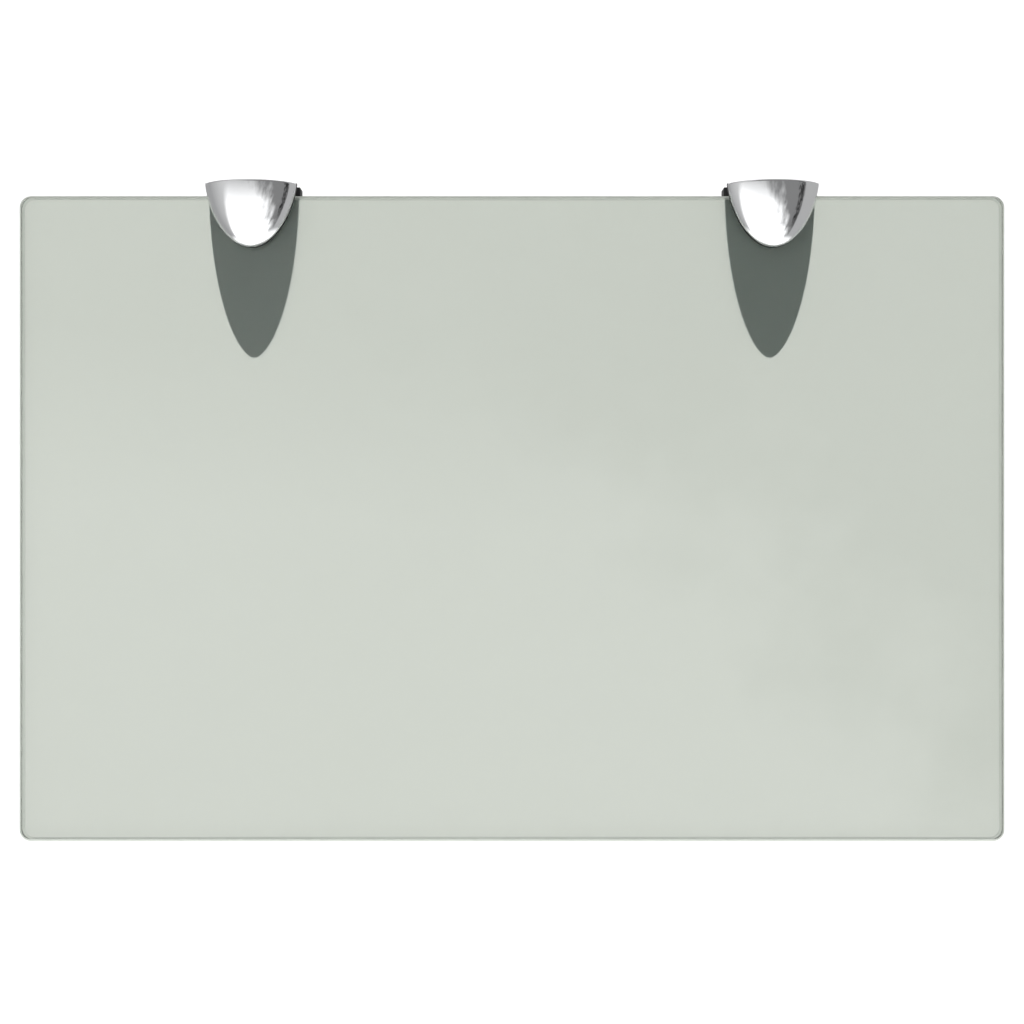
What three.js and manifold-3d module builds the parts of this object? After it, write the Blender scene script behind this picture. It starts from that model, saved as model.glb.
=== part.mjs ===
// A wall shelf: a frosted glass plate held at its back edge by two chromed clamp brackets.
//
// Millimetres. X runs along the wall, the wall is the plane y = 0 with the shelf at y < 0, and Z is up.
// The origin lies on the wall, midway between the brackets, level with the underside of the glass.
//
// Each bracket is a pair of die-cast jaws. The lower jaw is a hollow beak that hangs on a pressed steel
// plate. The upper jaw is a half dome with a stem that passes behind the glass and ends in a threaded
// foot inside the beak. The clamp screw is captive in the beak, so turning it lowers or lifts the foot.

import * as THREE from "three";
import { mergeVertices } from "three/addons/utils/BufferGeometryUtils.js";
import Module from "manifold-3d";

const wasm = await Module();
wasm.setup();

// ---- driving dimensions ----

const GLASS = { width: 400, depth: 262, thickness: 8, cornerR: 4.7, arris: 0.9, backY: -4.6 };
const BRACKET_X = 105.5; // each bracket's centre from the middle of the shelf
const TOUCH = 0.1; // left between pieces that rest on each other
const CLEAR = 0.3; // left round pieces that slide or turn
const WALL_GAP = 0.2; // between the castings and the wall

const PAD = { lower: 1, upper: 2, inset: 0.05 };
const JAW_TOP = -PAD.lower - 2 * TOUCH; // the lower jaw's flat top
const RIM_Z = GLASS.thickness + PAD.upper + 2 * TOUCH; // the upper jaw's rim

const BEAK = { length: 70, halfWidth: 18.4, height: 30, tipHeight: 2.5, wall: 2.4 };
const DOME = { depth: 26, halfWidth: 18.6, height: 6.4, rim: 0.4, wall: 1.8, backWall: 2.5 };
const SPRING = { beak: 0, dome: (30 * Math.PI) / 180 }; // where each section's arc starts, from level
const SWELL = 1.15; // below 1 the beak deepens near its tip, above 1 near the wall
const CURVE = { beakPlan: [2, 0.58], domePlan: [1.5, 0.5], domeProfile: [2, 0.5] }; // see oval()
// The hollow inside the beak; its front end has these shares of the width and height that would fit.
const POCKET = { length: 42, frontWidth: 0.55, frontHeight: 0.45 };
const STEM = { halfWidth: 7, front: -2.9, back: -0.4, intoDome: 3 };
const FOOT = { halfWidth: 6, front: -15.5, top: -8, bottom: -14 };
const BUFFER = { halfWidth: 19, front: -4.5, back: -0.3, top: 4.5, lip: 1.2 };

const THREAD_R = 2; // M4
const CLAMP = { y: -11, tipZ: -5, headTop: -25, headR: 3.5, headHeight: 4, groove: 0.4 };
const WASHER = { r: 4, thickness: 0.5 };
const RING = { r: 3.4, thickness: 0.6, innerR: 1.7, bottom: -20.4, mouth: 2.6 };
const LOCK = { y: -2.9, tipZ: -22.7, length: 8 };
const KEY = { acrossFlats: 3, lockAcrossFlats: 2, depth: 2.2 };
const BOSS = { clampR: 6.1, clampTop: -20.5, lockR: 3.6, lockTop: -24 };

const PLATE = { thickness: 1.5, top: -3.7, bottom: -22.6 };
const WING = { half: 14, bottom: -13 }; // the plate's upper part
const WEB = { half: 10 }; // the plate's lower part
const NOTCH = { half: 8, bottom: -14.8 }; // between the wings, for the stem
const TAB = { depth: 5, lipTop: -2.5, inset: 0.6 };
const FLANGE = { half: 5, depth: 4 };
const HOLE = { x: 5.5, z: -18.4, r: 2.25 };

const ROUND_STEPS = 18; // facets of a full circle
const CORNER_STEPS = 5; // facets of a glass corner
const SECTION_STEPS = 8; // facets of each side of a jaw's half-round section
const STATIONS = 9; // sections along a jaw
const CROWDING = 2.2; // how much closer those sections stand near the tip
const NEAR_TIP = 0.004; // where the first section stands, because the tip itself has no width
const FAR = 60; // a cut that runs out of a piece ends this far off

// ---- solids ----

const sorted = (...values) => values.sort((a, b) => a - b);

function solid(geometry) {
  const bare = geometry.clone();
  bare.deleteAttribute("normal");
  bare.deleteAttribute("uv");
  const merged = mergeVertices(bare, 1e-4);
  return new wasm.Manifold(
    new wasm.Mesh({
      numProp: 3,
      vertProperties: new Float32Array(merged.attributes.position.array),
      triVerts: new Uint32Array(merged.index.array),
    }),
  );
}

function geometryOf(manifold) {
  const { vertProperties, triVerts, numProp } = manifold.getMesh();
  const geometry = new THREE.BufferGeometry();
  geometry.setAttribute("position", new THREE.BufferAttribute(vertProperties, numProp));
  geometry.setIndex(new THREE.BufferAttribute(triVerts, 1));
  const flat = geometry.toNonIndexed();
  flat.computeVertexNormals();
  return flat;
}

function box(x, y, z) {
  const size = [x, y, z].map(([low, high]) => high - low);
  const middle = [x, y, z].map(([low, high]) => (low + high) / 2);
  return solid(new THREE.BoxGeometry(...size).translate(...middle));
}

// An upright cylinder on the bracket's centre plane.
function rod(r, y, bottom, top) {
  const cylinder = new THREE.CylinderGeometry(r, r, top - bottom, ROUND_STEPS);
  return solid(cylinder.rotateX(Math.PI / 2).translate(0, y, (bottom + top) / 2));
}

function hexagon(acrossFlats, y, bottom, top) {
  const r = acrossFlats / Math.sqrt(3);
  const prism = new THREE.CylinderGeometry(r, r, top - bottom, 6);
  return solid(prism.rotateX(Math.PI / 2).translate(0, y, (bottom + top) / 2));
}

// A flat shape in plan, from z = bottom up to z = top.
function slab(shape, bottom, top) {
  const options = { depth: top - bottom, bevelEnabled: false };
  return solid(new THREE.ExtrudeGeometry(shape, options).translate(0, 0, bottom));
}

// ---- the two jaws' curves: distances run from the tip (0) to the wall (1) ----

// A quarter ellipse if inner is 2 and outer is 0.5. A lower inner or a higher outer makes it slimmer.
const oval = (t, [inner, outer]) => (1 - (1 - t) ** inner) ** outer;
const beakWidth = (t) => BEAK.halfWidth * oval(t, CURVE.beakPlan);
const domeWidth = (t) => DOME.halfWidth * oval(t, CURVE.domePlan);
const domeHeight = (t) => DOME.height * oval(t, CURVE.domeProfile);

function beakHeight(t) {
  const swell = Math.sin((t * Math.PI) / 2) ** SWELL;
  return BEAK.tipHeight + (BEAK.height - BEAK.tipHeight) * swell;
}

// Steps from the tip to the wall, closer together round the tip.
function tipToWall(first) {
  return Array.from({ length: STATIONS + 1 }, (_, i) => first + (1 - first) * (i / STATIONS) ** CROWDING);
}

// The plan outline of a jaw: tip at y = -length, cut straight at y = back, drawn in by `inset`.
function planShape(length, width, back, inset = 0) {
  const right = tipToWall(NEAR_TIP)
    .map((t) => [width(t) - inset, (inset - length) * (1 - t)])
    .filter(([x, y]) => x > 0 && y < back);
  const cut = 1 + back / length;
  right.push([width(cut) - inset, back]);
  const left = right.map(([x, y]) => [-x, y]).reverse();
  return new THREE.Shape([...right, ...left].map(([x, y]) => new THREE.Vector2(x, y)));
}

// An arc over a flat base, one unit high and two wide. It meets the base square on if spring is 0, and
// at a slant if the arc starts further round.
function archShape(spring) {
  const section = new THREE.Shape();
  const rise = 1 / (1 - Math.sin(spring));
  section.absellipse(0, 1 - rise, 1 / Math.cos(spring), rise, spring, Math.PI - spring, false);
  section.closePath();
  return section;
}

// A half-round body: its flat side lies at z = 0, its section is an arch whose half-width and height
// follow the two functions from the tip to the wall. `side` is 1 for a dome, -1 for a hull.
function halfRound(length, width, height, side, first) {
  const section = archShape(side > 0 ? SPRING.dome : SPRING.beak);
  const options = { depth: 1, steps: STATIONS, bevelEnabled: false, curveSegments: SECTION_STEPS };
  const body = new THREE.ExtrudeGeometry(section, options);
  const places = tipToWall(first);
  const point = body.attributes.position;
  for (let i = 0; i < point.count; i++) {
    const t = places[Math.round(point.getZ(i) * STATIONS)];
    const x = point.getX(i) * width(t);
    const z = point.getY(i) * height(t) * side;
    point.setXYZ(i, x, -length * (1 - t), z);
  }
  const made = solid(body);
  return made.volume() < 0 ? solid(turnedOut(body)) : made;
}

// The same surface with each triangle's corners in the other order.
function turnedOut(geometry) {
  const p = geometry.attributes.position;
  for (let i = 0; i < p.count; i += 3) {
    const kept = [p.getX(i), p.getY(i), p.getZ(i)];
    p.setXYZ(i, p.getX(i + 1), p.getY(i + 1), p.getZ(i + 1));
    p.setXYZ(i + 1, ...kept);
  }
  return geometry;
}

// ---- the glass ----

function glassPanel() {
  const { width, depth, thickness, cornerR, arris, backY } = GLASS;
  const [left, right, front] = [-width / 2, width / 2, backY - depth];
  const outline = new THREE.Shape();
  outline.moveTo(left + cornerR, front);
  outline.absarc(right - cornerR, front + cornerR, cornerR, -Math.PI / 2, 0);
  outline.absarc(right - cornerR, backY - cornerR, cornerR, 0, Math.PI / 2);
  outline.absarc(left + cornerR, backY - cornerR, cornerR, Math.PI / 2, Math.PI);
  outline.absarc(left + cornerR, front + cornerR, cornerR, Math.PI, 1.5 * Math.PI);
  const plate = new THREE.ExtrudeGeometry(outline, {
    depth: thickness - 2 * arris,
    bevelThickness: arris,
    bevelSize: arris,
    bevelOffset: -arris,
    bevelSegments: 1,
    curveSegments: CORNER_STEPS,
  });
  return solid(plate.translate(0, 0, arris));
}

// ---- one bracket's pieces, centred on x = 0 ----

// Space round the upper jaw's stem, backwards from y = front and upwards from z = bottom.
function roomForStem(front, bottom) {
  return box([-STEM.halfWidth - CLEAR, STEM.halfWidth + CLEAR], [front, FAR], [bottom, FAR]);
}

// The hollow that the foot, the screws and their bosses stand in.
function beakPocket() {
  const alongBeak = (t) => 1 - (POCKET.length / BEAK.length) * (1 - t);
  const width = (t) => (beakWidth(alongBeak(t)) - BEAK.wall) * Math.min(1, POCKET.frontWidth + t);
  const height = (t) => (beakHeight(alongBeak(t)) - 2 * BEAK.wall) * Math.min(1, POCKET.frontHeight + t);
  const inside = halfRound(POCKET.length, width, height, -1, NEAR_TIP / 2);
  const clampBoss = rod(BOSS.clampR, CLAMP.y, -FAR, BOSS.clampTop);
  const lockBoss = rod(BOSS.lockR, LOCK.y, -FAR, BOSS.lockTop);
  return inside.translate([0, 0, JAW_TOP - BEAK.wall]).subtract(clampBoss.add(lockBoss));
}

// A slot in the beak's top skin for one of the wall plate's hooked tabs.
function hookSlot(side) {
  const x = sorted(NOTCH.half * side, WING.half * side);
  const y = [-TAB.depth - CLEAR, -TAB.depth + PLATE.thickness + CLEAR];
  return box(x, y, [JAW_TOP - BEAK.wall - 1, TAB.lipTop + CLEAR]);
}

function lowerJaw() {
  const hull = halfRound(BEAK.length, beakWidth, beakHeight, -1, NEAR_TIP / 2).translate([0, 0, JAW_TOP]);
  const washerTop = CLAMP.headTop + WASHER.thickness + 2 * TOUCH;
  const cuts = [
    beakPocket(),
    roomForStem(STEM.front - CLEAR, JAW_TOP - BEAK.wall - 1),
    rod(THREAD_R + CLEAR, CLAMP.y, -FAR, BOSS.clampTop + 1),
    rod(WASHER.r + CLEAR, CLAMP.y, -FAR, washerTop),
    rod(THREAD_R + CLEAR, LOCK.y, -FAR, BOSS.lockTop + 1),
    box([-FAR, FAR], [-WALL_GAP, FAR], [-FAR, FAR]),
    hookSlot(-1),
    hookSlot(1),
  ];
  return cuts.reduce((jaw, cut) => jaw.subtract(cut), hull);
}

// A dome standing on a straight rim, from z = bottom up.
function rimmedDome(depth, width, height, bottom) {
  const top = RIM_Z + DOME.rim;
  const rim = slab(planShape(depth, width, 0), bottom, top + TOUCH / 10);
  return halfRound(depth, width, height, 1, NEAR_TIP).translate([0, 0, top]).add(rim);
}

function upperJaw() {
  const thinned = (size) => (t) => Math.max(size(t) - DOME.wall, CLEAR);
  const hollow = rimmedDome(DOME.depth - DOME.wall, thinned(domeWidth), thinned(domeHeight), RIM_Z - 1);
  const backWall = box([-FAR, FAR], [-DOME.backWall - WALL_GAP, FAR], [0, FAR]);
  const behindBack = box([-FAR, FAR], [-WALL_GAP, FAR], [0, FAR]);
  const stemTop = RIM_Z + STEM.intoDome;
  const stem = box([-STEM.halfWidth, STEM.halfWidth], [STEM.front, STEM.back], [FOOT.bottom, stemTop]);
  const foot = box([-FOOT.halfWidth, FOOT.halfWidth], [FOOT.front, STEM.back], [FOOT.bottom, FOOT.top]);
  return rimmedDome(DOME.depth, domeWidth, domeHeight, RIM_Z)
    .subtract(hollow.subtract(backWall))
    .subtract(behindBack)
    .add(stem)
    .add(foot)
    .subtract(rod(THREAD_R + CLEAR, CLAMP.y, FOOT.bottom - 1, FOOT.top + 1));
}

function upperPad() {
  const bottom = GLASS.thickness + TOUCH;
  const plan = planShape(DOME.depth, domeWidth, -WALL_GAP, PAD.inset);
  return slab(plan, bottom, bottom + PAD.upper).subtract(roomForStem(STEM.front - CLEAR, 0));
}

function lowerPad() {
  const plan = planShape(BEAK.length, beakWidth, BUFFER.front - TOUCH);
  return slab(plan, -TOUCH - PAD.lower, -TOUCH);
}

// A C-shaped block behind the glass, open at the back for the stem.
function edgeBuffer() {
  const { halfWidth, front, back, top, lip } = BUFFER;
  const block = box([-halfWidth, halfWidth], [front, back], [JAW_TOP + TOUCH, top]);
  return block.subtract(roomForStem(front + lip, -FAR));
}

function clampScrew() {
  const { y, tipZ, headTop, headR, headHeight, groove } = CLAMP;
  const headBottom = headTop - headHeight;
  const ringPlace = [RING.bottom - TOUCH, RING.bottom + RING.thickness + TOUCH];
  const ringGroove = rod(THREAD_R + 1, y, ...ringPlace).subtract(rod(THREAD_R - groove, y, -FAR, FAR));
  return rod(THREAD_R, y, headTop - 1, tipZ)
    .add(rod(headR, y, headBottom, headTop))
    .subtract(ringGroove)
    .subtract(hexagon(KEY.acrossFlats, y, headBottom - 1, headBottom + KEY.depth));
}

function screwWasher() {
  const bottom = CLAMP.headTop + TOUCH;
  const disc = rod(WASHER.r, CLAMP.y, bottom, bottom + WASHER.thickness);
  return disc.subtract(rod(THREAD_R + CLEAR, CLAMP.y, -FAR, FAR));
}

function retainingRing() {
  const [bottom, top] = [RING.bottom, RING.bottom + RING.thickness];
  const mouth = box([-RING.mouth / 2, RING.mouth / 2], [-FAR, CLAMP.y], [bottom - 1, top + 1]);
  return rod(RING.r, CLAMP.y, bottom, top)
    .subtract(rod(RING.innerR, CLAMP.y, -FAR, FAR))
    .subtract(mouth);
}

function lockScrew() {
  const bottom = LOCK.tipZ - LOCK.length;
  const socket = hexagon(KEY.lockAcrossFlats, LOCK.y, bottom - 1, bottom + KEY.depth);
  return rod(THREAD_R, LOCK.y, bottom, LOCK.tipZ).subtract(socket);
}

// The wall plate's flat sheet: a wing on each side at the top, a web below with two screw holes.
function plateSheet() {
  const half = [
    [WEB.half, PLATE.bottom],
    [WING.half, WING.bottom],
    [WING.half, PLATE.top],
    [NOTCH.half, PLATE.top],
    [NOTCH.half, NOTCH.bottom],
  ];
  const outline = [...half, ...half.map(([x, z]) => [-x, z]).reverse()];
  const shape = new THREE.Shape(outline.map(([x, z]) => new THREE.Vector2(x, z)));
  for (const side of [-1, 1]) {
    const hole = new THREE.Path();
    hole.absarc(side * HOLE.x, HOLE.z, HOLE.r, 0, 2 * Math.PI, true);
    shape.holes.push(hole);
  }
  const options = { depth: PLATE.thickness, bevelEnabled: false, curveSegments: ROUND_STEPS / 2 };
  return solid(new THREE.ExtrudeGeometry(shape, options).rotateX(Math.PI / 2));
}

// A hooked tab on top of a wing: a ledge forwards, with a lip upwards at its end.
function hookTab(side) {
  const x = sorted((NOTCH.half + TAB.inset) * side, (WING.half - TAB.inset) * side);
  const ledge = box(x, [-TAB.depth, 0], [PLATE.top - PLATE.thickness, PLATE.top]);
  const lip = box(x, [-TAB.depth, PLATE.thickness - TAB.depth], [PLATE.top - 1, TAB.lipTop]);
  return ledge.add(lip);
}

// The beak hangs on the two hooked tabs, and the lock screw presses on the flange below.
function wallPlate() {
  const bottomEdge = [PLATE.bottom, PLATE.bottom + PLATE.thickness];
  const flange = box([-FLANGE.half, FLANGE.half], [-FLANGE.depth, 0], bottomEdge);
  return plateSheet().add(flange).add(hookTab(-1)).add(hookTab(1));
}

// ---- the assembly ----

const FINISH = {
  glass: { color: 0xcbd1c7, roughness: 0.35, metalness: 0, transparent: true, opacity: 0.75 },
  chrome: { color: 0xd9dbdd, roughness: 0.08, metalness: 1 },
  rubber: { color: 0x17181a, roughness: 0.8, metalness: 0 },
  pad: { color: 0x2b2f2d, roughness: 0.85, metalness: 0 },
  zinc: { color: 0xb4b8ba, roughness: 0.4, metalness: 1 },
  blackened: { color: 0x3a3b3d, roughness: 0.45, metalness: 1 },
};

const BRACKET_PIECES = {
  lower_jaw: [lowerJaw(), "chrome"],
  upper_jaw: [upperJaw(), "chrome"],
  lower_pad: [lowerPad(), "pad"],
  upper_pad: [upperPad(), "rubber"],
  edge_buffer: [edgeBuffer(), "rubber"],
  clamp_screw: [clampScrew(), "zinc"],
  screw_washer: [screwWasher(), "zinc"],
  retaining_ring: [retainingRing(), "blackened"],
  wall_plate: [wallPlate(), "zinc"],
  lock_screw: [lockScrew(), "blackened"],
};

function piece(name, shape, finish) {
  const mesh = new THREE.Mesh(geometryOf(shape), new THREE.MeshStandardMaterial(FINISH[finish]));
  mesh.name = name;
  return mesh;
}

function bracket(side, x) {
  const group = new THREE.Group();
  for (const [name, [shape, finish]] of Object.entries(BRACKET_PIECES)) {
    group.add(piece(`${side}_${name}`, shape, finish));
  }
  group.position.x = x;
  return group;
}

const shelf = new THREE.Group();
shelf.add(piece("glass_panel", glassPanel(), "glass"));
shelf.add(bracket("left", -BRACKET_X));
shelf.add(bracket("right", BRACKET_X));

export default shelf;
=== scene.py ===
import math

import bmesh
import bpy
from mathutils import Matrix, Vector


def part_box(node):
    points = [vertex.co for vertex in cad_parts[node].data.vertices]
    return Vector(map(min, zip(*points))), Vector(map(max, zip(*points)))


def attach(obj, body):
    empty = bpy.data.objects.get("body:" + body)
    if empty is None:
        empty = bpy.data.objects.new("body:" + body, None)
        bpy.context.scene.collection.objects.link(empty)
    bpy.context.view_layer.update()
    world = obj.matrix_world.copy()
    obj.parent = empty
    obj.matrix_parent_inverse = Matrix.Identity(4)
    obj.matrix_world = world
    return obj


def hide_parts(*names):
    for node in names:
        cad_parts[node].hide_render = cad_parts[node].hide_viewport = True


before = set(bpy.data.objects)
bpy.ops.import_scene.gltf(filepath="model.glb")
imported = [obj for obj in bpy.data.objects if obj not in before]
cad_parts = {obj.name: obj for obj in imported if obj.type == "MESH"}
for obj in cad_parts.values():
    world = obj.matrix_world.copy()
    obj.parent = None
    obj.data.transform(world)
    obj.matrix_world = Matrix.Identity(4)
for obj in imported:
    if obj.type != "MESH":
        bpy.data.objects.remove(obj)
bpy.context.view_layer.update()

MM = 0.001

# ---------------------------------------------------------------- measures taken from the frame


def corners(node):
    """A CAD node's lowest and highest corners in millimetres."""
    low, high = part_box(node)
    return low / MM, high / MM


GLASS_LOW, GLASS_HIGH = corners("glass_panel")
BEAK_LOW, BEAK_HIGH = corners("left_lower_jaw")
UPPER_LOW, UPPER_HIGH = corners("left_upper_jaw")
UPPER_PAD_LOW, UPPER_PAD_HIGH = corners("left_upper_pad")
LOWER_PAD_LOW, LOWER_PAD_HIGH = corners("left_lower_pad")
BUFFER_LOW, BUFFER_HIGH = corners("left_edge_buffer")
SCREW_LOW, SCREW_HIGH = corners("left_clamp_screw")
WASHER_LOW, WASHER_HIGH = corners("left_screw_washer")
RING_LOW, RING_HIGH = corners("left_retaining_ring")
PLATE_LOW, PLATE_HIGH = corners("left_wall_plate")
LOCK_LOW, LOCK_HIGH = corners("left_lock_screw")

BRACKET_X = -(BEAK_LOW.x + BEAK_HIGH.x) / 2
WALL_GAP = -BEAK_HIGH.y

BEAK_LENGTH = -BEAK_LOW.y
BEAK_HALF = (BEAK_HIGH.x - BEAK_LOW.x) / 2
BEAK_TOP = BEAK_HIGH.z
BEAK_HEIGHT = BEAK_HIGH.z - BEAK_LOW.z
BEAK_TIP = 2.5
BEAK_SWELL = 1.15  # above 1, the beak deepens nearer to the wall
BEAK_NOSE = 0.03  # the share of the length over which the tip is rounded
BEAK_WALL = 2.4
BEAK_POCKET = 42.0
CLAMP_BOSS_R = 6.1
LOCK_BOSS_R = 3.6

DOME_DEPTH = 26.0
DOME_HALF = (UPPER_HIGH.x - UPPER_LOW.x) / 2
DOME_RIM_Z = UPPER_PAD_HIGH.z + 0.1
DOME_RIM = 0.4
DOME_HEIGHT = UPPER_HIGH.z - DOME_RIM_Z - DOME_RIM
DOME_WALL = 1.8
DOME_SPRING = math.radians(30)

STEM_HALF = 7.0
STEM_FRONT = -2.9
STEM_BACK = -0.4
FOOT_HALF = 6.0
FOOT_TOP = -8.0
SLIDE_GAP = 0.3
SHEET = 1.5  # the wall plate's thickness
PLATE_NOTCH = 8.0  # half the gap between the plate's two hooked tabs
GROOVE_END = 14.0
WALL_SCREW_X = 5.5
WALL_SCREW_Z = -18.4
WALL_SCREW_R = 2.25
CLAMP_SOCKET = 3.0
LOCK_SOCKET = 2.0

THREAD_R = (LOCK_HIGH.x - LOCK_LOW.x) / 2
PITCH = 0.7
CLAMP_Y = (WASHER_LOW.y + WASHER_HIGH.y) / 2
LOCK_Y = (LOCK_LOW.y + LOCK_HIGH.y) / 2

# ---------------------------------------------------------------- mesh helpers


def fresh_mesh(name, points, faces):
    """A mesh from points in millimetres, with faces turned outwards."""
    mesh = bpy.data.meshes.new(name)
    mesh.from_pydata([Vector(p) * MM for p in points], [], faces)
    turn_out(mesh)
    return mesh


def turn_out(mesh):
    bm = bmesh.new()
    bm.from_mesh(mesh)
    bmesh.ops.remove_doubles(bm, verts=bm.verts, dist=1e-7)
    bmesh.ops.recalc_face_normals(bm, faces=bm.faces)
    bm.to_mesh(mesh)
    bm.free()


def rings_mesh(name, rings, closed_ends=True):
    """Skins a list of rings, each with the same number of points, and closes both ends."""
    count = len(rings[0])
    points = [p for ring in rings for p in ring]
    faces = []
    for r in range(len(rings) - 1):
        for i in range(count):
            j = (i + 1) % count
            a, b = r * count, (r + 1) * count
            faces.append((a + i, a + j, b + j, b + i))
    if closed_ends:
        faces.append(tuple(range(count)))
        faces.append(tuple(range(len(points) - count, len(points))))
    return fresh_mesh(name, points, faces)


def turned_mesh(name, profile, steps=72):
    """A turned piece about Z. The profile is a list of (radius, z); a radius may be a function of the
    angle and z. Both ends are on the axis."""
    points, faces = [(0, 0, profile[0][1])], []
    middle = profile[1:-1]
    for radius, z in middle:
        for i in range(steps):
            angle = 2 * math.pi * i / steps
            r = radius(angle, z) if callable(radius) else radius
            points.append((r * math.cos(angle), r * math.sin(angle), z))
    points.append((0, 0, profile[-1][1]))
    last = len(points) - 1
    for i in range(steps):
        j = (i + 1) % steps
        faces.append((0, 1 + i, 1 + j))
        for k in range(len(middle) - 1):
            a, b = 1 + k * steps, 1 + (k + 1) * steps
            faces.append((a + i, b + i, b + j, a + j))
        end = 1 + (len(middle) - 1) * steps
        faces.append((last, end + j, end + i))
    return fresh_mesh(name, points, faces)


def box_mesh(name, x, y, z):
    points = [(a, b, c) for a in x for b in y for c in z]
    faces = [(0, 1, 3, 2), (4, 6, 7, 5), (0, 4, 5, 1), (2, 3, 7, 6), (0, 2, 6, 4), (1, 5, 7, 3)]
    return fresh_mesh(name, points, faces)


def rod_mesh(name, radius, y, bottom, top):
    return stepped_rod_mesh(name, y, bottom, [(radius, top)])


def stepped_rod_mesh(name, y, bottom, steps):
    """An upright rod whose steps are (radius, top), from the bottom up."""
    profile = [(0, bottom)]
    for radius, top in steps:
        profile += [(radius, profile[-1][1]), (radius, top)]
    mesh = turned_mesh(name, profile + [(0, profile[-1][1])], 64)
    mesh.transform(Matrix.Translation((0, y * MM, 0)))
    return mesh


def plate_mesh(name, outlines, thickness, edge):
    """A flat plate in the XY plane, from z = 0 up, cut to closed outlines (the first is the outside, the
    others are holes), with edges rounded to the radius `edge`."""
    curve = bpy.data.curves.new(name, "CURVE")
    curve.dimensions = "2D"
    curve.fill_mode = "BOTH"
    curve.extrude = (thickness / 2 - edge) * MM
    curve.bevel_depth = edge * MM
    curve.bevel_resolution = 3
    curve.offset = -edge * MM
    for outline in outlines:
        spline = curve.splines.new("POLY")
        spline.points.add(len(outline) - 1)
        spline.use_cyclic_u = True
        for point, (x, y) in zip(spline.points, outline):
            point.co = (x * MM, y * MM, 0, 1)
    maker = bpy.data.objects.new(name, curve)
    bpy.context.scene.collection.objects.link(maker)
    mesh = bpy.data.meshes.new_from_object(maker.evaluated_get(bpy.context.evaluated_depsgraph_get()))
    bpy.data.objects.remove(maker)
    bpy.data.curves.remove(curve)
    mesh.transform(Matrix.Translation((0, 0, thickness / 2 * MM)))
    mesh.name = name
    turn_out(mesh)
    return mesh


def combined(name, base, steps):
    """The base mesh after each (operation, mesh) of the steps, by exact booleans."""
    worker = bpy.data.objects.new(name, base)
    bpy.context.scene.collection.objects.link(worker)
    tools = []
    for operation, mesh in steps:
        tool = bpy.data.objects.new("tool", mesh)
        bpy.context.scene.collection.objects.link(tool)
        tools.append(tool)
        modifier = worker.modifiers.new("cut", "BOOLEAN")
        modifier.operation = operation
        modifier.solver = "EXACT"
        modifier.object = tool
    graph = bpy.context.evaluated_depsgraph_get()
    mesh = bpy.data.meshes.new_from_object(worker.evaluated_get(graph))
    mesh.name = name
    for used in [worker, *tools]:
        bpy.data.objects.remove(used)
    return mesh


def smooth(mesh, degrees=32):
    mesh.polygons.foreach_set("use_smooth", [True] * len(mesh.polygons))
    mesh.set_sharp_from_angle(angle=math.radians(degrees))
    return mesh


def place(name, mesh, material, body, node, slot, x=0.0):
    """Makes one piece of the object, riding on a body and standing for a CAD node."""
    piece = bpy.data.objects.new(name, mesh)
    bpy.context.scene.collection.objects.link(piece)
    if not mesh.materials:
        mesh.materials.append(material)
    piece.location.x = x * MM
    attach(piece, body)
    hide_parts(node)
    return piece


def arc(cx, cy, radius, start, end, steps):
    """Points on an arc, from start to end degrees."""
    angles = [math.radians(start + (end - start) * i / steps) for i in range(steps + 1)]
    return [(cx + radius * math.cos(a), cy + radius * math.sin(a)) for a in angles]


# ---------------------------------------------------------------- the jaws' curves
# Each curve takes t, the place along a jaw: 0 at the tip and 1 at the wall plane.


def beak_half(t):
    return BEAK_HALF * (1 - (1 - t) ** 2) ** 0.58


def beak_depth(t):
    swell = math.sin(t * math.pi / 2) ** BEAK_SWELL
    nose = min(1.0, t / BEAK_NOSE)
    blunt = math.sqrt(1 - (1 - nose) ** 2)
    return (BEAK_TIP + (BEAK_HEIGHT - BEAK_TIP) * swell) * (0.35 + 0.65 * blunt)


def dome_half(t):
    return DOME_HALF * (1 - (1 - t) ** 1.5) ** 0.5


def dome_rise(t):
    return DOME_HEIGHT * math.sqrt(1 - (1 - t) ** 2)


def tip_to_wall(steps, first):
    """Places from near the tip to the wall, closer together near the tip."""
    return [first + (1 - first) * (i / steps) ** 2.2 for i in range(steps + 1)]


def plan_outline(length, half, back, inset, steps=48):
    """A jaw's plan, tip forwards, cut straight at y = back and drawn in by inset."""
    places = [t for t in tip_to_wall(steps, 0.002) if -length * (1 - t) < back]
    right = []
    for t in places:
        x = half(t) - inset
        if x > 0:
            right.append((x, -length * (1 - t) + inset * (1 - t)))
    right.append((half(1 + back / length) - inset, back))
    return right + [(-x, y) for x, y in reversed(right)]


def half_section(half, rise, skirt, fillet, spring, steps):
    """One section of a jaw: an arch standing on a skirt with a rounded lip, flat below. The arch's arc
    starts at the angle spring, so it meets the skirt at a slant if that is over 0."""
    lip = min(fillet, half * 0.45, (skirt + rise) * 0.45)
    foot = [(half - lip * (1 - math.sin(a)), lip * (1 - math.cos(a)))
            for a in (math.pi / 2 * i / 4 for i in range(5))]
    above = []
    for i in range(1, steps + 1):
        a = spring + (math.pi / 2 - spring) * i / steps
        lift = rise * (math.sin(a) - math.sin(spring)) / (1 - math.sin(spring))
        above.append((half * math.cos(a) / math.cos(spring), max(skirt, lip) + lift))
    right = foot + above
    return right + [(-x, z) for x, z in reversed(right[:-1])]


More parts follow.
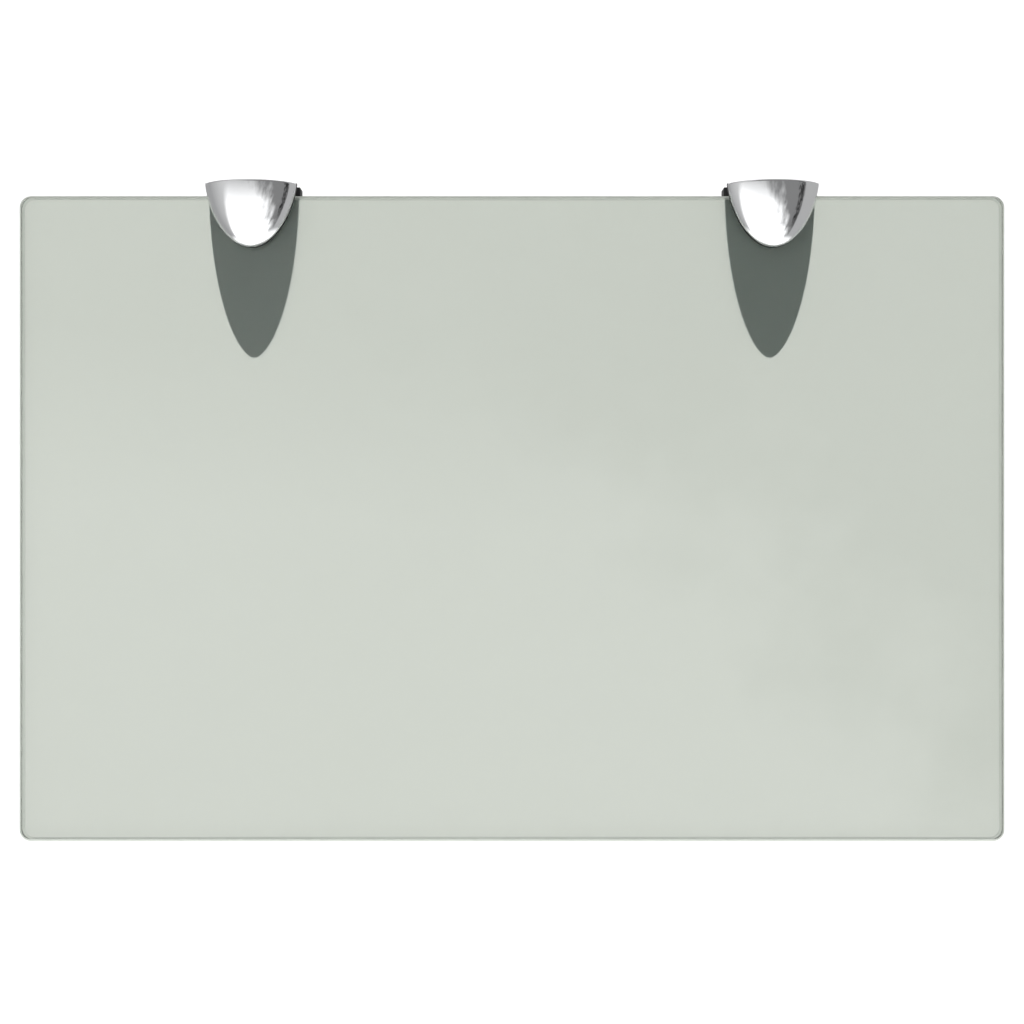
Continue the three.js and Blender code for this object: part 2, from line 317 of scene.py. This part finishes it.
def half_round_mesh(name, length, half, rise, skirt, fillet, side, back, first=0.0012, stations=60):
    """A jaw's body: sections from the tip to the plane y = back, or to the wall if that comes first.
    side is 1 for a dome and -1 for a hull."""
    spring = DOME_SPRING if side > 0 else 0.0
    last = min(1.0, 1 + back / length)
    rings = []
    for t in [*(t for t in tip_to_wall(stations, first) if t < last - 1e-4), last]:
        section = half_section(half(t), rise(t), min(skirt, rise(t)), fillet, spring, 24)
        rings.append([(x, -length * (1 - t), z * side) for x, z in section])
    return rings_mesh(name, rings)


# ---------------------------------------------------------------- pieces of one bracket


def lower_jaw_mesh():
    """The hull, with its pocket, the two screws' bosses and holes, a throat and the plate's grooves."""
    hull = half_round_mesh("lower_jaw", BEAK_LENGTH, beak_half, beak_depth, 0.0, 0.7, -1, -WALL_GAP)
    hull.transform(Matrix.Translation((0, 0, BEAK_TOP * MM)))

    def outer(t):
        return 1 - BEAK_POCKET / BEAK_LENGTH * (1 - t)

    def pocket_half(t):
        return (beak_half(outer(t)) - BEAK_WALL) * min(1, 0.55 + t)

    def pocket_depth(t):
        return (beak_depth(outer(t)) - 2 * BEAK_WALL) * min(1, 0.45 + t)

    pocket = half_round_mesh("pocket", BEAK_POCKET, pocket_half, pocket_depth, 0.0, 1.2, -1, 2.0,
                             first=0.01, stations=30)
    pocket.transform(Matrix.Translation((0, 0.5 * MM, (BEAK_TOP - BEAK_WALL) * MM)))
    low = BEAK_LOW.z - 5
    clamp_top, lock_top = RING_LOW.z - 0.1, LOCK_HIGH.z - 1.3
    bosses = combined("bosses", rod_mesh("clamp_boss", CLAMP_BOSS_R, CLAMP_Y, low, clamp_top),
                      [("UNION", rod_mesh("lock_boss", LOCK_BOSS_R, LOCK_Y, low, lock_top))])
    hollow = combined("hollow", pocket, [("DIFFERENCE", bosses)])
    counterbore_top = WASHER_HIGH.z + 0.1
    counterbore_r = (WASHER_HIGH.x - WASHER_LOW.x) / 2 + SLIDE_GAP
    throat = STEM_HALF + SLIDE_GAP
    cuts = [
        hollow,
        box_mesh("throat", (-throat, throat), (STEM_FRONT - SLIDE_GAP, 2),
                 (BEAK_TOP - BEAK_WALL - 1, BEAK_TOP + 1)),
        stepped_rod_mesh("screw_hole", CLAMP_Y, low, [
            (counterbore_r, counterbore_top), (THREAD_R + SLIDE_GAP, clamp_top + 1)]),
        rod_mesh("lock_hole", THREAD_R + SLIDE_GAP / 2, LOCK_Y, low, lock_top + 1),
    ]
    for side in (-1, 1):
        x = sorted((PLATE_NOTCH * side, GROOVE_END * side))
        cuts.append(box_mesh("groove", x, (PLATE_LOW.y - SLIDE_GAP, PLATE_LOW.y + SHEET + SLIDE_GAP),
                             (BEAK_TOP - BEAK_WALL - 1, PLATE_HIGH.z + SLIDE_GAP)))
    return smooth(combined("lower_jaw", hull, [("DIFFERENCE", c) for c in cuts]), 28)


def upper_jaw_mesh():
    """The dome, hollow in front of its stem, with the threaded foot that the clamp screw pulls."""
    back_fillet = 0.9

    def eased(t):
        """Draws the section in over the last stretch before the wall, for a rounded back edge."""
        left = max(0.0, DOME_DEPTH * (1 - t) - WALL_GAP)
        if left >= back_fillet:
            return 0.0
        return back_fillet - math.sqrt(back_fillet**2 - (back_fillet - left) ** 2)

    around_edge = {1 - (WALL_GAP + back_fillet * (1 - math.cos(math.pi / 2 * i / 6))) / DOME_DEPTH
                   for i in range(7)}
    places = sorted(set(tip_to_wall(52, 0.0012)[:-1]) | around_edge)
    places = [t for t in places if t <= 1 - WALL_GAP / DOME_DEPTH + 1e-9]
    rings = []
    for t in places:
        half, rise = dome_half(t) - eased(t), dome_rise(t) - eased(t)
        section = half_section(half, rise, DOME_RIM, 0.12, DOME_SPRING, 28)
        rings.append([(x, -DOME_DEPTH * (1 - t), z + DOME_RIM_Z) for x, z in section])
    shell = rings_mesh("upper_jaw", rings)

    def inner_half(t):
        return max(dome_half(t) - DOME_WALL, 0.4)

    def inner_rise(t):
        return max(dome_rise(t) - DOME_WALL, 0.3)

    hollow = half_round_mesh("hollow", DOME_DEPTH - DOME_WALL, inner_half, inner_rise, DOME_RIM, 0.05,
                             1, STEM_FRONT + 0.2, stations=30)
    hollow.transform(Matrix.Translation((0, 0, (DOME_RIM_Z - 0.02) * MM)))
    stem = box_mesh("stem", (-STEM_HALF, STEM_HALF), (STEM_FRONT, STEM_BACK),
                    (UPPER_LOW.z, DOME_RIM_Z + 3))
    foot = box_mesh("foot", (-FOOT_HALF, FOOT_HALF), (2 * CLAMP_Y + 6.5, STEM_BACK - 0.5),
                    (UPPER_LOW.z, FOOT_TOP))
    hole = rod_mesh("hole", THREAD_R + SLIDE_GAP / 2, CLAMP_Y, UPPER_LOW.z - 1, FOOT_TOP + 1)
    steps = [("DIFFERENCE", hollow), ("UNION", stem), ("UNION", foot), ("DIFFERENCE", hole)]
    return smooth(combined("upper_jaw", shell, steps), 28)


def upper_pad_mesh():
    outline = plan_outline(DOME_DEPTH, dome_half, -WALL_GAP, 0.05)
    throat = STEM_HALF + SLIDE_GAP
    notch = [(-throat, -WALL_GAP), (-throat, STEM_FRONT - SLIDE_GAP),
             (throat, STEM_FRONT - SLIDE_GAP), (throat, -WALL_GAP)]
    mesh = plate_mesh("upper_pad", [outline + notch], UPPER_PAD_HIGH.z - UPPER_PAD_LOW.z, 0.15)
    mesh.transform(Matrix.Translation((0, 0, UPPER_PAD_LOW.z * MM)))
    return smooth(mesh)


def lower_pad_mesh():
    outline = plan_outline(BEAK_LENGTH, beak_half, LOWER_PAD_HIGH.y, 0.0)
    mesh = plate_mesh("lower_pad", [outline], LOWER_PAD_HIGH.z - LOWER_PAD_LOW.z, 0.2)
    mesh.transform(Matrix.Translation((0, 0, LOWER_PAD_LOW.z * MM)))
    return smooth(mesh)


def edge_buffer_mesh():
    half = (BUFFER_HIGH.x - BUFFER_LOW.x) / 2
    throat = STEM_HALF + SLIDE_GAP
    slot_front = STEM_FRONT - SLIDE_GAP - 0.1
    r = 0.3
    outline = (arc(-half + r, BUFFER_LOW.y + r, r, 180, 270, 6)
               + arc(half - r, BUFFER_LOW.y + r, r, 270, 360, 6)
               + arc(half - r, BUFFER_HIGH.y - r, r, 0, 90, 6)
               + [(throat, BUFFER_HIGH.y), (throat, slot_front), (-throat, slot_front),
                  (-throat, BUFFER_HIGH.y)]
               + arc(-half + r, BUFFER_HIGH.y - r, r, 90, 180, 6))
    mesh = plate_mesh("edge_buffer", [outline], BUFFER_HIGH.z - BUFFER_LOW.z, 0.2)
    mesh.transform(Matrix.Translation((0, 0, BUFFER_LOW.z * MM)))
    return smooth(mesh)


def thread(crest, low, high):
    """The radius of a V thread, faded out at both ends, as a function of angle and height."""
    depth = 0.61 * PITCH

    def radius(angle, z):
        turn = (z / PITCH - angle / (2 * math.pi)) % 1
        wave = min(1.0, max(0.0, 1.25 * abs(2 * turn - 1) - 0.1))
        fade = min(1.0, max(0.0, (z - low) / PITCH), max(0.0, (high - z) / PITCH))
        return crest - depth * (1 - wave) * max(0.0, min(1.0, fade))

    return radius


def hexagon(across_flats):
    def radius(angle, z):
        return across_flats / 2 / math.cos((angle + math.pi / 6) % (math.pi / 3) - math.pi / 6)

    return radius


def threaded(crest, low, high):
    """Profile points of a threaded stretch, eight to a pitch."""
    count = int(round((high - low) / PITCH * 8))
    form = thread(crest, low, high)
    return [(form, low + (high - low) * i / count) for i in range(count + 1)]


def clamp_screw_mesh():
    bottom, top = SCREW_LOW.z, SCREW_HIGH.z
    head_r = (SCREW_HIGH.x - SCREW_LOW.x) / 2
    head_top = WASHER_LOW.z - 0.1
    ring_low, ring_high = RING_LOW.z - 0.1, RING_HIGH.z + 0.1
    socket = hexagon(CLAMP_SOCKET)

    def knurled(angle, z):
        return head_r - 0.09 * (round(angle / (2 * math.pi) * 72) % 2)

    profile = [
        (0, bottom + 2.2), (1.2, bottom + 2.1), (socket, bottom + 1.9), (socket, bottom + 0.2),
        (1.95, bottom), (head_r - 0.55, bottom), (head_r - 0.15, bottom + 0.25),
        (knurled, bottom + 0.6), (knurled, head_top - 0.35), (head_r - 0.1, head_top - 0.15),
        (head_r - 0.25, head_top), (THREAD_R + 0.25, head_top), (THREAD_R, head_top + 0.25),
        (THREAD_R, ring_low - 0.15), (THREAD_R - 0.1, ring_low), (THREAD_R - 0.4, ring_low),
        (THREAD_R - 0.4, ring_high), (THREAD_R - 0.1, ring_high), (THREAD_R, ring_high + 0.15),
        *threaded(THREAD_R, ring_high + 0.9, top - 0.6),
        (THREAD_R - 0.4, top), (0, top),
    ]
    mesh = turned_mesh("clamp_screw", profile)
    mesh.transform(Matrix.Translation((0, CLAMP_Y * MM, 0)))
    return smooth(mesh, 30)


def lock_screw_mesh():
    bottom, top = LOCK_LOW.z, LOCK_HIGH.z
    socket = hexagon(LOCK_SOCKET)
    profile = [
        (0, bottom + 2.4), (0.8, bottom + 2.3), (socket, bottom + 2.1), (socket, bottom + 0.15),
        (1.3, bottom), (THREAD_R - 0.45, bottom),
        *threaded(THREAD_R, bottom + 0.45, top - 0.5),
        (THREAD_R - 0.5, top), (THREAD_R - 0.9, top), (0, top - 0.5),
    ]
    mesh = turned_mesh("lock_screw", profile)
    mesh.transform(Matrix.Translation((0, LOCK_Y * MM, 0)))
    return smooth(mesh, 30)


def washer_mesh():
    outer = (WASHER_HIGH.x - WASHER_LOW.x) / 2
    inner = THREAD_R + SLIDE_GAP
    circles = [arc(0, 0, outer, 0, 355, 71), arc(0, 0, inner, 0, 352.5, 47)]
    mesh = plate_mesh("screw_washer", circles, WASHER_HIGH.z - WASHER_LOW.z, 0.1)
    mesh.transform(Matrix.Translation((0, CLAMP_Y * MM, WASHER_LOW.z * MM)))
    return smooth(mesh)


def retaining_ring_mesh():
    """An E-shaped snap ring: an outer bow with three prongs inwards, open towards the front."""
    outer, bow, prong = 3.4, 2.35, THREAD_R - 0.3
    mouth = 32
    outline = arc(0, 0, outer, -90 + mouth, 270 - mouth, 60)
    inner = [(270 - mouth, prong), (245, prong), (235, bow), (115, bow), (106, prong), (74, prong),
             (65, bow), (-55, bow), (-65 + 10, prong), (-90 + mouth, prong)]
    for (a0, r0), (a1, r1) in zip(inner, inner[1:]):
        steps = max(1, int(abs(a1 - a0) / 5))
        for i in range(steps):
            share = i / steps
            angle = math.radians(a0 + (a1 - a0) * share)
            r = r0 + (r1 - r0) * share
            outline.append((r * math.cos(angle), r * math.sin(angle)))
    last = math.radians(inner[-1][0])
    outline.append((prong * math.cos(last), prong * math.sin(last)))
    mesh = plate_mesh("retaining_ring", [outline], RING_HIGH.z - RING_LOW.z, 0.08)
    mesh.transform(Matrix.Translation((0, CLAMP_Y * MM, RING_LOW.z * MM)))
    return smooth(mesh)


def bent_strip(name, path, thickness, x):
    """A strip of sheet bent along a path of (y, z) points at its middle, as wide as x."""
    left, right = [], []
    for i, (y, z) in enumerate(path):
        before, after = path[max(i - 1, 0)], path[min(i + 1, len(path) - 1)]
        dy, dz = after[0] - before[0], after[1] - before[1]
        size = math.hypot(dy, dz)
        ny, nz = -dz / size * thickness / 2, dy / size * thickness / 2
        left.append((y + ny, z + nz))
        right.append((y - ny, z - nz))
    section = left + right[::-1]
    rings = [[(a, y, z) for y, z in section] for a in x]
    return rings_mesh(name, rings)


def wall_plate_mesh():
    """The pressed plate: a notched web with two wings, a hooked tab on each and a flange below."""
    mid = -SHEET / 2
    wing, web = (PLATE_HIGH.x - PLATE_LOW.x) / 2, 10.0
    bottom, wing_bottom, top, notch_bottom = PLATE_LOW.z, -13.0, -5.4, -14.8
    notch_r = 1.2
    half = [(web, bottom + 1.0), (wing, wing_bottom), (wing, top), (PLATE_NOTCH, top)]
    half += arc(PLATE_NOTCH - notch_r, notch_bottom + notch_r, notch_r, 0, -90, 6)
    outline = half + [(-x, z) for x, z in reversed(half)]
    holes = [arc(side * WALL_SCREW_X, WALL_SCREW_Z, WALL_SCREW_R, 0, -352.5, 47) for side in (-1, 1)]
    sheet = plate_mesh("wall_plate", [outline, *holes], SHEET, 0.15)
    sheet.transform(Matrix.Rotation(math.pi / 2, 4, "X"))

    bent = SHEET - 0.04
    bend_r, hook_r = 1.1, 1.0
    hook_y = PLATE_LOW.y + SHEET / 2
    tab = ([(mid, -8.0)] + arc(mid - bend_r, -5.55, bend_r, 0, 90, 8)
           + arc(hook_y + hook_r, -3.45, hook_r, 270, 180, 8) + [(hook_y, PLATE_HIGH.z)])
    flange_z, flange_front, flange_half = bottom + SHEET / 2, -4.0, 5.0
    flange = ([(mid, -19.0)] + arc(mid - bend_r, flange_z + bend_r, bend_r, 0, -90, 8)
              + [(flange_front, flange_z)])
    steps = []
    for side in (-1, 1):
        x = sorted(((PLATE_NOTCH + 0.6) * side, (wing - 0.6) * side))
        steps.append(("UNION", bent_strip("tab", tab, bent, x)))
    steps.append(("UNION", bent_strip("flange", flange, bent, (-flange_half, flange_half))))
    return smooth(combined("wall_plate", sheet, steps), 35)


# ---------------------------------------------------------------- the glass


def glass_mesh():
    """The plate: ground and polished edges with an arris above and below, and rounded corners."""
    low, high = GLASS_LOW, GLASS_HIGH
    corner, arris = 4.7, 0.9
    ease = 0.12

    def outline(inset):
        r = corner - inset
        boxed = [(high.x - corner, high.y - corner, 0), (low.x + corner, high.y - corner, 90),
                 (low.x + corner, low.y + corner, 180), (high.x - corner, low.y + corner, 270)]
        return [p for cx, cy, start in boxed for p in arc(cx, cy, r, start, start + 90, 14)]

    side = [(arris + ease, 0.0), (arris, ease * 0.35), (ease * 0.35, arris), (0.0, arris + ease)]
    levels = [(inset, low.z + z) for inset, z in side]
    levels += [(inset, high.z - z) for inset, z in reversed(side)]
    rings = [[(x, y, z) for x, y in outline(inset)] for inset, z in levels]
    mesh = rings_mesh("glass_panel", rings)
    mesh.materials.append(polished_glass())
    mesh.materials.append(frosted_glass())
    # The edge tints are painted light and shade: the sides dark, the upper arris lighter as painted
    # light, and the lower arris darkest as painted shade.
    mesh.materials.append(ground_glass("ground_side", 0.6, (0.36, 0.40, 0.34), (0.40, 0.44, 0.38)))
    mesh.materials.append(ground_glass("upper_arris", 0.3, (0.60, 0.64, 0.58), (0.66, 0.70, 0.64)))
    mesh.materials.append(ground_glass("lower_arris", 0.85, (0.27, 0.30, 0.25), (0.31, 0.34, 0.29)))
    for face in mesh.polygons:
        face.material_index = glass_slot(face.normal.z)
    return smooth(mesh, 20)


def glass_slot(level):
    """The material for a face of the glass whose normal has this Z: top, underside, side or an arris."""
    if abs(level) > 0.99:
        return 0 if level > 0 else 1
    if abs(level) < 0.2:
        return 2
    return 3 if level > 0 else 4


# ---------------------------------------------------------------- materials


class Nodes:
    """A small helper for one material's node tree."""

    def __init__(self, name):
        self.material = bpy.data.materials.new(name)
        self.material.use_nodes = True
        self.tree = self.material.node_tree
        self.shader = self.tree.nodes["Principled BSDF"]
        self.output = self.tree.nodes["Material Output"]

    @classmethod
    def of_tree(cls, tree):
        """The same helper for a tree that isn't a material's."""
        helper = cls.__new__(cls)
        helper.tree = tree
        return helper

    def add(self, kind, **settings):
        node = self.tree.nodes.new(kind)
        for key, value in settings.items():
            if key in node.inputs:
                node.inputs[key].default_value = value
            else:
                setattr(node, key, value)
        return node

    def link(self, source, target):
        self.tree.links.new(source, target)

    def place(self):
        """Coordinates on the piece itself, shifted by where the piece stands so that copies differ."""
        where = self.add("ShaderNodeTexCoord")
        info = self.add("ShaderNodeObjectInfo")
        shift = self.add("ShaderNodeVectorMath", operation="ADD")
        self.link(where.outputs["Object"], shift.inputs[0])
        self.link(info.outputs["Location"], shift.inputs[1])
        return shift.outputs[0]

    def noise(self, place, per_metre, detail=3.0, roughness=0.5, distortion=0.0):
        node = self.add("ShaderNodeTexNoise", Scale=per_metre, Detail=detail)
        node.inputs["Roughness"].default_value = roughness
        node.inputs["Distortion"].default_value = distortion
        self.link(place, node.inputs["Vector"])
        return node.outputs["Fac"]

    def between(self, factor, low, high, start=0.0, end=1.0):
        """low where factor is start, high where it is end, and in step between them."""
        node = self.add("ShaderNodeMapRange")
        for key, value in (("From Min", start), ("From Max", end), ("To Min", low), ("To Max", high)):
            node.inputs[key].default_value = value
        self.link(factor, node.inputs["Value"])
        return node.outputs["Result"]

    def fill(self, sockets, values):
        """Sets each socket to a number, or links an output to it."""
        for socket, value in zip(sockets, values):
            if isinstance(value, (int, float)):
                socket.default_value = value
            else:
                self.link(value, socket)

    def maths(self, operation, first, second):
        node = self.add("ShaderNodeMath", operation=operation)
        self.fill(node.inputs[:2], (first, second))
        return node.outputs[0]

    def blend(self, factor, first, second):
        """first where factor is 0, second where it is 1."""
        node = self.add("ShaderNodeMix", data_type="FLOAT")
        self.fill(node.inputs[:1] + node.inputs[2:4], (factor, first, second))
        return node.outputs[0]

    def mix(self, factor, first, second):
        node = self.add("ShaderNodeMix", data_type="RGBA")
        self.link(factor, node.inputs[0])
        node.inputs[6].default_value = (*first, 1.0)
        node.inputs[7].default_value = (*second, 1.0)
        return node.outputs[2]

    def bump(self, height, depth_mm, strength=1.0, under=None):
        node = self.add("ShaderNodeBump", Strength=strength, Distance=depth_mm * MM)
        self.link(height, node.inputs["Height"])
        if under is not None:
            self.link(under, node.inputs["Normal"])
        self.link(node.outputs["Normal"], self.shader.inputs["Normal"])
        return node.outputs["Normal"]

    def set(self, **values):
        for key, value in values.items():
            name = key.replace("_", " ")
            socket = self.shader.inputs[name]
            socket.default_value = (*value, 1.0) if isinstance(value, tuple) else value

    def drive(self, name, source):
        self.link(source, self.shader.inputs[name])


def glass_nodes(name, clear, rough, tint, tint_far):
    """Low-tint float glass, its roughness and tint clouding slightly from place to place."""
    n = Nodes(name)
    place = n.place()
    cloud = n.noise(place, 9, 4, 0.55)
    n.set(Transmission_Weight=clear, IOR=1.5)
    n.drive("Base Color", n.mix(cloud, tint, tint_far))
    n.drive("Roughness", n.between(cloud, *rough, 0.35, 0.7))
    return n, place


def polished_glass():
    n, _ = glass_nodes("polished_glass", 1.0, (0.012, 0.03), (0.955, 0.985, 0.95), (0.965, 0.99, 0.96))
    return n.material


def frosted_glass():
    """The etched underside, which scatters what is seen through it."""
    n, place = glass_nodes("frosted_glass", 0.7, (0.52, 0.6), (0.465, 0.50, 0.43), (0.505, 0.54, 0.48))
    n.bump(n.noise(place, 1500, 2), 0.01, 0.4)
    return n.material


def ground_glass(name, clear, tint, tint_far):
    """The ground edges and their arrises. Their tints are darker and greener than the plate's, as painted
    shade for the light lost in the glass, and the upper arris is lighter than the lower, as painted light
    and shade.
    """
    n, place = glass_nodes(name, clear, (0.3, 0.42), tint, tint_far)
    n.bump(n.noise(place, 900, 3), 0.01, 0.4)
    return n.material


def chrome_material():
    n = Nodes("bright_chrome")
    place = n.place()
    cloud = n.noise(place, 70, 4, 0.6)
    haze = n.noise(place, 400, 3, 0.6)
    n.set(Metallic=1.0)
    n.drive("Base Color", n.mix(cloud, (0.80, 0.81, 0.825), (0.88, 0.885, 0.89)))
    n.drive("Roughness", n.between(haze, 0.03, 0.11, 0.3, 0.8))
    wave = n.noise(place, 130, 2, 0.4)
    n.bump(wave, 0.05, 0.5)
    return n.material


def rubber_material(name, dark, light, grain_mm):
    n = Nodes(name)
    place = n.place()
    cloud = n.noise(place, 60, 4, 0.6)
    grain = n.noise(place, 1000 / grain_mm, 3, 0.6)
    n.set(Metallic=0.0)
    n.shader.inputs["Specular IOR Level"].default_value = 0.35
    n.drive("Base Color", n.mix(cloud, dark, light))
    n.drive("Roughness", n.between(cloud, 0.6, 0.85, 0.3, 0.7))
    n.bump(grain, 0.05, 0.6)
    return n.material


def steel_material(name, dark, light, rough):
    n = Nodes(name)
    place = n.place()
    cloud = n.noise(place, 220, 4, 0.65, 0.5)
    fine = n.noise(place, 1800, 3, 0.6)
    n.set(Metallic=1.0)
    n.drive("Base Color", n.mix(cloud, dark, light))
    n.drive("Roughness", n.between(cloud, rough - 0.08, rough + 0.1, 0.3, 0.7))
    n.bump(fine, 0.02, 0.5)
    return n.material


# ---------------------------------------------------------------- the assembly

chrome = chrome_material()
rubber = rubber_material("black_rubber", (0.012, 0.012, 0.013), (0.03, 0.03, 0.031), 0.35)
pad_rubber = rubber_material("pad_rubber", (0.11, 0.185, 0.215), (0.135, 0.215, 0.25), 0.5)
zinc_steel = steel_material("zinc_plated_steel", (0.50, 0.52, 0.55), (0.70, 0.71, 0.70), 0.32)
black_steel = steel_material("black_steel", (0.05, 0.05, 0.055), (0.11, 0.11, 0.115), 0.38)

# piece, its mesh, material, the record's slot, and the body it rides on ("" for the shelf itself)
BRACKET = [
    ("lower_jaw", lower_jaw_mesh(), chrome, "chrome", ""),
    ("upper_jaw", upper_jaw_mesh(), chrome, "chrome", "jaw"),
    ("lower_pad", lower_pad_mesh(), pad_rubber, "pad_rubber", ""),
    ("upper_pad", upper_pad_mesh(), rubber, "black_rubber", "jaw"),
    ("edge_buffer", edge_buffer_mesh(), rubber, "black_rubber", ""),
    ("clamp_screw", clamp_screw_mesh(), zinc_steel, "zinc_plated_steel", "screw"),
    ("screw_washer", washer_mesh(), zinc_steel, "zinc_plated_steel", ""),
    ("retaining_ring", retaining_ring_mesh(), black_steel, "black_steel", "screw"),
    ("wall_plate", wall_plate_mesh(), zinc_steel, "zinc_plated_steel", ""),
    ("lock_screw", lock_screw_mesh(), black_steel, "black_steel", ""),
]

place("glass_plate", glass_mesh(), None, "shelf", "glass_panel", "frosted_glass")
for side, x in (("left", -BRACKET_X), ("right", BRACKET_X)):
    for name, mesh, material, slot, body in BRACKET:
        rides_on = f"{side}_{body}" if body else "shelf"
        place(f"{side}_{name}_fine", mesh, material, rides_on, f"{side}_{name}", slot, x)

# ---------------------------------------------------------------- floor, light and camera

# in metres
FLOOR_DEPTH = 0.9
FLOOR_RADIUS = 2.2
SPAN = 0.4151  # the width in view, level with the top of the glass
DISTANCE = 0.475  # from the top of the glass to the camera
CAMERA_BACK = 0.0027  # from the middle of the glass towards the wall


def make_floor():
    """A pale round floor far below, which glows a little like a light table."""
    mesh = bpy.data.meshes.new("floor")
    rim = arc(0, 0, FLOOR_RADIUS, 0, 355, 71)
    mesh.from_pydata([(x, y, 0) for x, y in rim], [], [tuple(range(len(rim)))])
    floor = bpy.data.objects.new("floor", mesh)
    bpy.context.scene.collection.objects.link(floor)
    floor.location.z = -FLOOR_DEPTH
    n = Nodes("pale_floor")
    n.set(Base_Color=(0.93, 0.93, 0.93), Roughness=0.9, Emission_Color=(1, 1, 1), Emission_Strength=0.26)
    mesh.materials.append(n.material)


def make_world():
    """A soft studio for the chrome to reflect, with bright and dark bands. Each direction has two
    measures: away, from -1 in front to 1 behind the wall, and lean, its slant to the right in radians."""
    world = bpy.data.worlds.new("studio")
    world.use_nodes = True
    bpy.context.scene.world = world
    n = Nodes.of_tree(world.node_tree)
    direction = n.add("ShaderNodeTexCoord").outputs["Generated"]
    split = n.add("ShaderNodeSeparateXYZ")
    n.link(direction, split.inputs[0])
    away = split.outputs["Y"]
    lean = n.maths("ARCTAN2", split.outputs["X"], split.outputs["Z"])
    uneven = n.between(n.noise(direction, 5, 3, 0.6), -0.2, 0.2, 0.3, 0.7)

    # bright in front and to the left, fading across a slanted and uneven edge
    glow = n.between(away, 1.6, 0.6, 0.0, 0.26)
    diagonal = n.maths("ADD", n.maths("ADD", lean, n.maths("MULTIPLY", away, 1.2)), uneven)
    light = n.blend(n.between(diagonal, 0, 1, 0.1, 0.55), glow, 0.25)

    # a grey band far to the left
    slanted = n.maths("SUBTRACT", lean, n.maths("MULTIPLY", away, 0.6))
    grey = n.between(lean, 0.4, 0.68, -1.4, -0.85)
    light = n.blend(n.between(slanted, 1, 0, -0.95, -0.80), light, grey)

    # a dark ragged streak to the right, and a plain grey strip beyond it
    broken = n.between(n.noise(direction, 26, 3, 0.7), -0.1, 0.1, 0.35, 0.65)
    ragged = n.maths("ADD", lean, broken)
    gap = n.maths("MULTIPLY", n.between(ragged, 0, 1, 0.84, 0.88), n.between(ragged, 1, 0, 0.98, 1.02))
    gap = n.maths("MULTIPLY", gap, n.between(away, 0, 1, -0.4, -0.15))
    light = n.blend(gap, light, 0.03)
    light = n.blend(n.between(lean, 0, 1, 1.00, 1.04), light, 0.48)

    # bright again low in front
    light = n.maths("MAXIMUM", light, n.between(away, 1.5, 0.0, -0.62, -0.42))
    background = world.node_tree.nodes["Background"]
    n.link(light, background.inputs["Strength"])
    background.inputs["Color"].default_value = (1, 1, 1, 1)


def make_camera():
    camera = bpy.data.objects.new("camera", bpy.data.cameras.new("camera"))
    bpy.context.scene.collection.objects.link(camera)
    middle = (GLASS_LOW + GLASS_HIGH) / 2 * MM
    camera.location = (middle.x, middle.y + CAMERA_BACK, GLASS_HIGH.z * MM + DISTANCE)
    camera.data.lens = camera.data.sensor_width * DISTANCE / SPAN
    camera.data.clip_start = 0.01
    camera.data.clip_end = 20
    bpy.context.scene.camera = camera


make_floor()
make_world()
make_camera()
bpy.context.scene.view_settings.view_transform = "Standard"
